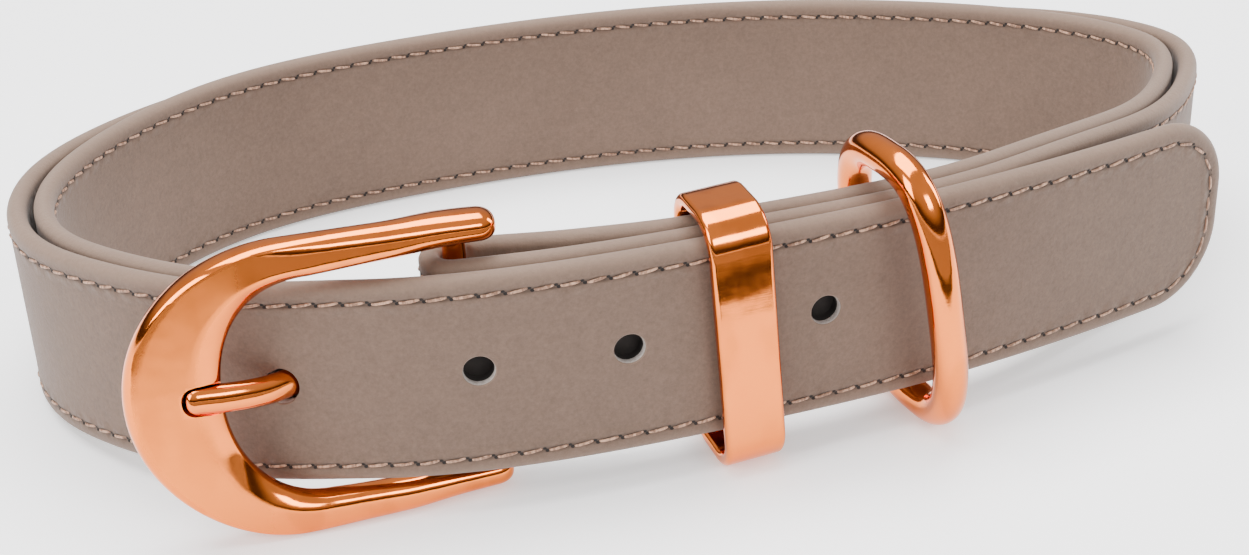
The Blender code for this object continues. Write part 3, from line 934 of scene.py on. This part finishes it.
def bead_rings(place, direction, wobble):
    """Rings of one stitch: a bowed, tapered bead of thread."""
    across = np.array([-direction[1], direction[0]])
    lean = STITCH_LEAN + wobble[0]
    rings = []
    for step in np.linspace(-1.0, 1.0, 9):
        reach = STITCH_LENGTH / 2 * step * (1 + wobble[1])
        up = lean * step * (1 if direction[0] > 0 else -1)
        centre = place + direction * reach + np.array([0.0, -up])
        bow = -STITCH_DIP * abs(step) ** 4
        size = THREAD_RADIUS * (1.1 - 0.4 * abs(step) ** 3)
        ring = []
        for angle in 2 * np.pi * np.arange(THREAD_SIDES) / THREAD_SIDES:
            spread = centre + across * size * math.cos(angle)
            proud = bow + 0.8 * size * math.sin(angle)
            ring.append((spread, proud))
        rings.append(ring)
    return rings


def stitch_ply(ply, name, seed):
    """All of a ply's thread as one mesh, and all of its needle holes as another."""
    random = np.random.default_rng(seed)
    places, directions = seam_walk(ply)
    flat, proud, faces = [], [], []
    for place, direction in zip(places, directions):
        wobble = random.normal(0.0, (0.03, 0.02))
        rings = bead_rings(place, direction, wobble)
        base = len(flat)
        for ring in rings:
            for spread, rise in ring:
                flat.append(spread)
                proud.append(rise)
        for i in range(len(rings) - 1):
            near, far = base + i * THREAD_SIDES, base + (i + 1) * THREAD_SIDES
            for j in range(THREAD_SIDES):
                k = (j + 1) % THREAD_SIDES
                faces.append((near + j, near + k, far + k, far + j))
        faces.append([base + j for j in reversed(range(THREAD_SIDES))])
        faces.append([far + j for j in range(THREAD_SIDES)])
    flat, proud = np.array(flat), np.array(proud)
    # The bow is measured from the face's highest level, so the bead spans its channel
    level = 0.0 if ply.stitched_side > 0 else PLY
    depth = level - ply.stitched_side * (proud - THREAD_SUNK)
    points = ply.point(flat[:, 0], flat[:, 1], depth)
    thread = clean(add_mesh(name + "_thread", points, faces))
    return thread, needle_hole_shade(ply, name, places, directions)


def needle_hole_shade(ply, name, places, directions):
    """Small dark spots of painted shade where the thread goes in, two to each stitch."""
    flat, faces = [], []
    for place, direction in zip(places, directions):
        across = np.array([-direction[1], direction[0]])
        for end in (-1, 1):
            lean = STITCH_LEAN * end * (1 if direction[0] > 0 else -1)
            centre = place + direction * (STITCH_LENGTH / 2 + 0.1) * end + np.array([0.0, -lean])
            base = len(flat)
            flat.append(centre)
            for angle in 2 * np.pi * np.arange(NEEDLE_SIDES) / NEEDLE_SIDES:
                spread = centre + direction * 1.15 * NEEDLE_RADIUS * math.cos(angle)
                flat.append(spread + across * 0.85 * NEEDLE_RADIUS * math.sin(angle))
            for j in range(NEEDLE_SIDES):
                faces.append((base, base + 1 + j, base + 1 + (j + 1) % NEEDLE_SIDES))
    along, height = np.array(flat).T
    side = ply.stitched_side
    depth, _ = ply.depth_on(side, along, height)
    return add_mesh(name + "_needle_holes", ply.point(along, height, depth - side * NEEDLE_PROUD), faces)


outer_thread, outer_pit_shade = stitch_ply(outer_ply, "outer", 3)
lining_thread, lining_pit_shade = stitch_ply(lining_ply, "lining", 5)
print("thread faces:", len(outer_thread.data.polygons) + len(lining_thread.data.polygons))


# %% [markdown]
# ## Shader maths as Python
#
# A material is easier to read as a formula than as a list of links. The class below wraps one
# socket; adding, subtracting or multiplying it makes the Math node for it. Colours are mixed with
# Mix nodes, since a Math node would turn them grey.

# %% A socket that does arithmetic
class Wire:
    """One output of a node, ready for arithmetic."""

    def __init__(self, sheet, socket):
        self.sheet = sheet
        self.socket = socket

    def maths(self, operation, *values):
        inputs = {i: value for i, value in enumerate(values)}
        return self.sheet.node("ShaderNodeMath", {"operation": operation}, inputs)

    def __add__(self, other):
        return self.maths("ADD", self, other)

    __radd__ = __add__

    def __sub__(self, other):
        return self.maths("SUBTRACT", self, other)

    def __rsub__(self, other):
        return self.maths("SUBTRACT", other, self)

    def __mul__(self, other):
        return self.maths("MULTIPLY", self, other)

    __rmul__ = __mul__

    def absolute(self):
        return self.maths("ABSOLUTE", self)

    def sine(self):
        return self.maths("SINE", self)

    def between(self, low, high):
        """0 below low, 1 above high, and smooth in between."""
        sockets = {"Value": self, "From Min": low, "From Max": high}
        settings = {"interpolation_type": "SMOOTHSTEP"}
        return self.sheet.node("ShaderNodeMapRange", settings, sockets, "Result")


class Sheet:
    """A material whose nodes are made by calls."""

    def __init__(self, name, constants):
        self.material = bpy.data.materials.new(name)
        self.material.use_nodes = True
        self.tree = self.material.node_tree
        self.shader = self.tree.nodes["Principled BSDF"]
        for socket, value in constants.items():
            self.shader.inputs[socket].default_value = value

    def node(self, kind, settings=None, sockets=None, output=0):
        made = self.tree.nodes.new(kind)
        for setting, value in (settings or {}).items():
            if setting == "stops":
                self.set_stops(made.color_ramp, value)
            else:
                setattr(made, setting, value)
        for socket, value in (sockets or {}).items():
            self.feed(made.inputs[socket], value)
        return Wire(self, made.outputs[output])

    @staticmethod
    def set_stops(ramp, stops):
        while len(ramp.elements) < len(stops):
            ramp.elements.new(0.5)
        for element, (position, colour) in zip(ramp.elements, stops):
            element.position = position
            element.color = (*colour, 1.0)

    def feed(self, socket, value):
        if isinstance(value, Wire):
            self.tree.links.new(value.socket, socket)
        elif isinstance(value, tuple) and len(value) == 3 and socket.type == "RGBA":
            socket.default_value = (*value, 1.0)
        else:
            socket.default_value = value

    def mix(self, share, first, second):
        """Second over first, as colours."""
        return self.node("ShaderNodeMix", {"data_type": "RGBA"}, {0: share, 6: first, 7: second}, 2)

    def noise(self, scale_per_mm, detail=3.0, roughness=0.55, stretch=None):
        place = self.node("ShaderNodeTexCoord", output="Object")
        if stretch:
            place = self.node("ShaderNodeMapping", sockets={"Vector": place, "Scale": stretch})
        sockets = {"Vector": place, "Scale": scale_per_mm / MM, "Detail": detail, "Roughness": roughness}
        return self.node("ShaderNodeTexNoise", None, sockets, "Fac")

    def bump(self, height, depth_mm, below=None):
        sockets = {"Height": height, "Strength": 1.0, "Distance": depth_mm * MM}
        if below:
            sockets["Normal"] = below
        return self.node("ShaderNodeBump", None, sockets, "Normal")

    def finish(self, **links):
        for socket, value in links.items():
            self.feed(self.shader.inputs[socket.replace("_", " ")], value)
        return self.material


# %% [markdown]
# ## Leather
#
# The leather is a matt nubuck: a warm grey brown that scatters light softly, a little paler on the
# rolled edges, partly from wear where it is stretched and handled and partly as a painted highlight,
# and darkened in the stitched channel by painted shade. The grain is very fine. The UV map made with
# the ply says where the edge and the channel are.

# %% Taupe nubuck, for the outer ply and the lining
def nubuck(name, face, edge, shade):
    matt = {"Sheen Weight": 0.12, "Sheen Roughness": 0.5, "Specular IOR Level": 0.28}
    sheet = Sheet(name, matt)
    uv = sheet.node("ShaderNodeUVMap", {"uv_map": "strap"}, output="UV")
    from_edge = sheet.node("ShaderNodeSeparateXYZ", None, {"Vector": uv}, "Y").absolute() * 10
    along = sheet.node("ShaderNodeSeparateXYZ", None, {"Vector": uv}, "X") * 10
    # The rolled edges are paler: partly wear where the leather is stretched, partly a painted highlight
    edge_wear_and_highlight = 1 - from_edge.between(0.5, 1.9)
    channel = from_edge.between(1.75, 2.2) * (1 - from_edge.between(2.3, 2.85))
    clouds = sheet.noise(0.06, 3.0)
    mottle = sheet.noise(0.6, 4.0, 0.65)
    nap = sheet.noise(1.8, 4.0, 0.75)
    by_seam = (1 - from_edge.between(2.4, 4.2)) * from_edge.between(1.2, 2.2)
    pull = (sheet.noise(0.5, 2.0, 0.5) - 0.5) * by_seam
    tone = (clouds - 0.5) * 0.45 + (mottle - 0.5) * 0.75 + (nap - 0.5) * 1.5 + 0.5
    colour = sheet.mix(tone, shade, face)
    colour = sheet.mix(edge_wear_and_highlight * 0.5, colour, edge)
    # Painted shade: the stitched channel's groove is darkened in the colour, using half the darker tone
    colour = sheet.mix(channel * 0.6, colour, tuple(0.5 * value for value in shade))
    ripple = (along * (2 * math.pi / STITCH_PITCH)).sine() * 0.5 + 0.5
    pucker = ripple * from_edge.between(2.3, 2.7) * (1 - from_edge.between(2.8, 3.9))
    grain = sheet.bump(nap * 0.6 + mottle * 0.4, 0.12)
    creased = sheet.bump(pull + pucker * 0.25, 0.5, grain)
    rough = (mottle - 0.5) * 0.16 + 0.72
    return sheet.finish(Base_Color=colour, Roughness=rough, Normal=creased)


# Face, edge and darker tone colours: the edge colour is partly wear and partly a painted highlight
outer_leather = nubuck("taupe_nubuck", (0.154, 0.098, 0.07), (0.198, 0.131, 0.095), (0.09, 0.056, 0.039))
lining_leather = nubuck("taupe_lining", (0.154, 0.098, 0.07), (0.205, 0.137, 0.1), (0.091, 0.057, 0.04))
print("leather nodes:", len(outer_leather.node_tree.nodes))


# %% [markdown]
# ## Thread and needle holes
#
# The thread is a waxed, two-strand twist a shade lighter and warmer than the leather. A fine
# stretched noise is enough at this size to break its highlight. The needle holes are painted nearly
# black as shade, and the punched holes show pale cut fibres at the mouth before painted shade
# darkens them deeper in.

# %% Thread, cut and painted pit shade finishes
def waxed_thread():
    sheet = Sheet("waxed_thread", {"Roughness": 0.5, "Specular IOR Level": 0.45})
    strands = sheet.noise(2.4, 2.0, 0.6, (1.0, 1.0, 0.35))
    colour = sheet.mix(strands.between(0.35, 0.65), (0.17, 0.085, 0.05), (0.46, 0.27, 0.175))
    return sheet.finish(Base_Color=colour, Normal=sheet.bump(strands, 0.12))


# Painted shade for the needle holes, the deep walls of the punched holes and the discs behind them
def needle_shadow():
    sheet = Sheet("needle_hole_shade", {"Roughness": 0.9})
    shade_speckle = sheet.noise(2.0, 2.0)
    return sheet.finish(Base_Color=sheet.mix(shade_speckle, (0.006, 0.004, 0.003), (0.016, 0.011, 0.009)))


def fresh_cut():
    sheet = Sheet("cut_leather", {"Roughness": 0.85})
    fibres = sheet.noise(5.0, 3.0, 0.7)
    colour = sheet.mix(fibres, (0.12, 0.1, 0.09), (0.52, 0.47, 0.43))
    return sheet.finish(Base_Color=colour, Normal=sheet.bump(fibres, 0.1))


cut_finish = fresh_cut()
thread_finish = waxed_thread()
pit_shade_finish = needle_shadow()
print("small finishes:", cut_finish.name, thread_finish.name, pit_shade_finish.name)


# %% [markdown]
# ## Polished copper-coloured metal
#
# The hardware is a casting plated in a warm pink copper and polished, except the broad face of the
# buckle's round end, which keeps a satin finish. Where that face is comes from the part's shape: it
# looks forward, and it lies on the round end. The plating's slight waviness keeps reflections alive,
# and dark streaks painted into its colour stand in for reflections of dark surroundings.

# %% Copper plating
PAINTED_REFLECTION_STREAKS = 0.25
SATIN_FROM_X = -47.0
SATIN_TO_X = -51.0


def plating(name, satin):
    sheet = Sheet(name, {"Metallic": 1.0, "Roughness": 0.12})
    waves = sheet.noise(0.12, 2.0)
    haze = sheet.noise(1.4, 4.0, 0.65)
    scratches = sheet.noise(1.1, 3.0, 0.7, (0.4, 1.0, 5.0))
    colour = sheet.mix((haze - 0.5) * 0.5 + 0.5, (0.80, 0.18, 0.028), (0.88, 0.235, 0.042))
    # Painted reflection: darker streaks in the colour stand in for dark surroundings mirrored in the
    # metal
    dark_reflection_streaks = sheet.noise(0.22, 1.5, 0.4, (1.0, 1.0, 0.45)).between(0.5, 0.66)
    colour = sheet.mix(dark_reflection_streaks * PAINTED_REFLECTION_STREAKS, colour, (0.42, 0.085, 0.01))
    rough = (haze - 0.5) * 0.07 + (scratches - 0.5) * 0.04 + 0.105
    if satin:
        mask = sheet.node("ShaderNodeAttribute", {"attribute_name": "satin"}, output="Fac")
        rough = rough + mask * 0.2
        colour = sheet.mix(mask * 0.3, colour, (0.86, 0.23, 0.032))
    normal = sheet.bump(waves, 0.16)
    normal = sheet.bump(haze * 0.5 + scratches * 0.5, 0.0035, normal)
    return sheet.finish(Base_Color=colour, Roughness=rough, Normal=normal)


def mark_satin(body):
    """Marks the forward-facing flat of the frame's round end on its points."""
    x = np.array([v.co.x for v in body.data.vertices]) / MM + ORIGIN[0]
    forward = -np.array([v.normal.y for v in body.data.vertices])
    round_part = np.clip((SATIN_FROM_X - x) / (SATIN_FROM_X - SATIN_TO_X), 0, 1)
    flat_part = np.clip((forward - 0.93) / 0.05, 0, 1)
    attribute = body.data.attributes.new("satin", "FLOAT", "POINT")
    attribute.data.foreach_set("value", (round_part * flat_part).astype(np.float32))


mark_satin(frame_body)
polished_copper = plating("polished_copper", False)
buckle_copper = plating("buckle_copper", True)
print("plating nodes:", len(buckle_copper.node_tree.nodes))


# %% [markdown]
# ## Every piece to its place
#
# Each finished piece stands for its solid, rides on the one body and takes its finish. Smooth
# shading keeps its corners only where the surface really turns.

# %% Assign finishes, slots and bodies
def present(body, finish, node=None, sharp=40):
    body.data.materials.clear()
    body.data.materials.append(finish)
    body.data.shade_smooth()
    body.data.set_sharp_from_angle(angle=math.radians(sharp))
    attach(body, "root")
    if node:
        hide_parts(node)


present(outer_body, outer_leather, "outer_strap", 32)
present(lining_body, lining_leather, "lining_strap", 32)
present(frame_body, buckle_copper, "buckle_frame", 38)
present(tongue_body, polished_copper, "buckle_tongue", 38)
present(keeper_body, polished_copper, "keeper_loop", 60)
present(ring_body, polished_copper, "leash_ring", 80)
# The ply's extra finishes: painted shade deep in the holes, and the fresh cut at their mouths
outer_body.data.materials.append(pit_shade_finish)
outer_body.data.materials.append(cut_finish)
outer_body.data.polygons.foreach_set("material_index", hole_finishes(outer_body))
present(shadow_body, pit_shade_finish, sharp=80)
present(outer_thread, thread_finish, sharp=80)
present(outer_pit_shade, pit_shade_finish, sharp=80)
present(lining_thread, thread_finish, sharp=80)
present(lining_pit_shade, pit_shade_finish, sharp=80)


def keep_flats(body):
    """Keeps the shading of flat stretches flat beside their rounded edges."""
    weighted = body.modifiers.new("weighted normals", "WEIGHTED_NORMAL")
    weighted.weight = 60
    weighted.keep_sharp = True


keep_flats(keeper_body)


# %% [markdown]
# ## Floor, light and camera
#
# A pale floor with a big soft light above gives the bright, low-contrast look of a shop picture.
# Polished metal only looks polished when there is something to reflect, so the light boxes have
# clear edges and the sky behind them is darker towards the horizon.

# %% Floor
def pale_floor():
    glow = {"Emission Color": (1.0, 1.0, 1.0, 1.0), "Emission Strength": 0.45}
    sheet = Sheet("pale_floor", {"Roughness": 0.6, "Specular IOR Level": 0.3, **glow})
    faint = sheet.noise(0.004, 2.0)
    return sheet.finish(Base_Color=sheet.mix(faint, (0.87, 0.87, 0.885), (0.9, 0.9, 0.91)))


def level_sheet(name, half_width, front, rear, height, material):
    """A level rectangle in metres, centred on the collar's width."""
    data = bpy.data.meshes.new(name)
    corners = [(-half_width, front), (half_width, front), (half_width, rear), (-half_width, rear)]
    data.from_pydata([(x, y, height) for x, y in corners], [], [(0, 1, 2, 3)])
    data.materials.append(material)
    body = bpy.data.objects.new(name, data)
    bpy.context.scene.collection.objects.link(body)
    return body


floor = level_sheet("floor", 2.5, -2.5, 2.5, 0.0, pale_floor())


# %% [markdown]
# Metal that faces the viewer mirrors the bare floor in front of it, and looks flat. A product
# photographer lays cards there. These two are seen in reflections alone, and throw no shadow.

# %% Cards for the metal to mirror
def card(name, near, far, grey):
    matt = {"Roughness": 1.0, "Specular IOR Level": 0.0, "Base Color": (grey, grey, grey, 1.0)}
    body = level_sheet(name, 0.5, -far, -near, 0.001, Sheet(name, matt).material)
    body.visible_camera = False
    body.visible_diffuse = False
    body.visible_shadow = False


card("dark_card", 0.080, 0.092, 0.02)
card("grey_card", 0.092, 0.5, 0.2)


# %% [markdown]
# Four soft boxes stand round the collar. The sky climbs from nearly black at the horizon to nearly
# white overhead, so that polished metal has something dark to mirror as well as something bright.

# %% Soft boxes and sky
def soft_box(name, place, aim, size, power, colour=(1.0, 1.0, 1.0)):
    data = bpy.data.lights.new(name, "AREA")
    data.shape = "RECTANGLE"
    data.size, data.size_y = size
    data.energy = power
    data.color = colour
    lamp = bpy.data.objects.new(name, data)
    lamp.location = place
    lamp.rotation_euler = (Vector(aim) - Vector(place)).to_track_quat("-Z", "Y").to_euler()
    bpy.context.scene.collection.objects.link(lamp)


centre = (0.0, 0.0, 0.015)
soft_box("top", (-0.05, 0.12, 0.75), centre, (0.9, 0.5), 16.0)
soft_box("left", (-0.75, -0.3, 0.42), centre, (0.35, 0.5), 6.5, (1.0, 0.985, 0.97))
soft_box("front", (0.3, -0.8, 0.55), centre, (0.45, 0.25), 5.0)
soft_box("right", (0.8, 0.1, 0.35), centre, (0.25, 0.45), 4.5)

world = bpy.data.worlds.new("studio")
world.use_nodes = True
bpy.context.scene.world = world
sky = world.node_tree
background = sky.nodes["Background"]
direction = sky.nodes.new("ShaderNodeTexCoord")
height = sky.nodes.new("ShaderNodeSeparateXYZ")
ramp = sky.nodes.new("ShaderNodeValToRGB")
SKY_STOPS = [
    (0.0, (0.06, 0.05, 0.05)),
    (0.14, (0.09, 0.08, 0.08)),
    (0.34, (0.7, 0.7, 0.7)),
    (0.7, (0.95, 0.95, 0.96)),
]
Sheet.set_stops(ramp.color_ramp, SKY_STOPS)
sky.links.new(direction.outputs["Generated"], height.inputs["Vector"])
sky.links.new(height.outputs["Z"], ramp.inputs["Fac"])
sky.links.new(ramp.outputs["Color"], background.inputs["Color"])
background.inputs["Strength"].default_value = 0.95
print("sky colours:", len(SKY_STOPS))


# %% [markdown]
# The camera looks 28 degrees down and 12 degrees round, with a slight roll and a lens of about
# 57 mm. Its place is in millimetres, in the same drawing as the strap's route.

# %% Camera at the photograph's angle
CAMERA_PLACE = np.array([-48.9, -229.9, 128.056])
CAMERA_DOWN = math.radians(28.0)
CAMERA_YAW = math.radians(12.0)
CAMERA_ROLL = -4.35250638e-02
LENS = 57.02


def in_part(vector):
    """From the camera's upright frame to the part's frame."""
    cosine, sine = math.cos(CAMERA_YAW), math.sin(CAMERA_YAW)
    x, y, z = vector
    return Vector((cosine * x + sine * y, -sine * x + cosine * y, z))


level = np.array([1.0, 0.0, 0.0])
upright = np.array([0.0, math.sin(CAMERA_DOWN), math.cos(CAMERA_DOWN)])
ahead = np.array([0.0, math.cos(CAMERA_DOWN), -math.sin(CAMERA_DOWN)])
right = in_part(math.cos(CAMERA_ROLL) * level + math.sin(CAMERA_ROLL) * upright)
up = in_part(-math.sin(CAMERA_ROLL) * level + math.cos(CAMERA_ROLL) * upright)
back = -in_part(ahead)
place = Vector((CAMERA_PLACE - ORIGIN) * MM)
camera_data = bpy.data.cameras.new("camera")
camera_data.sensor_width = 36.0
camera_data.lens = LENS
camera_data.clip_start = 0.01
camera = bpy.data.objects.new("camera", camera_data)
camera.matrix_world = Matrix([(right[i], up[i], back[i], place[i]) for i in range(3)] + [(0, 0, 0, 1)])
bpy.context.scene.collection.objects.link(camera)
bpy.context.scene.camera = camera
print("camera", [round(value, 3) for value in place])
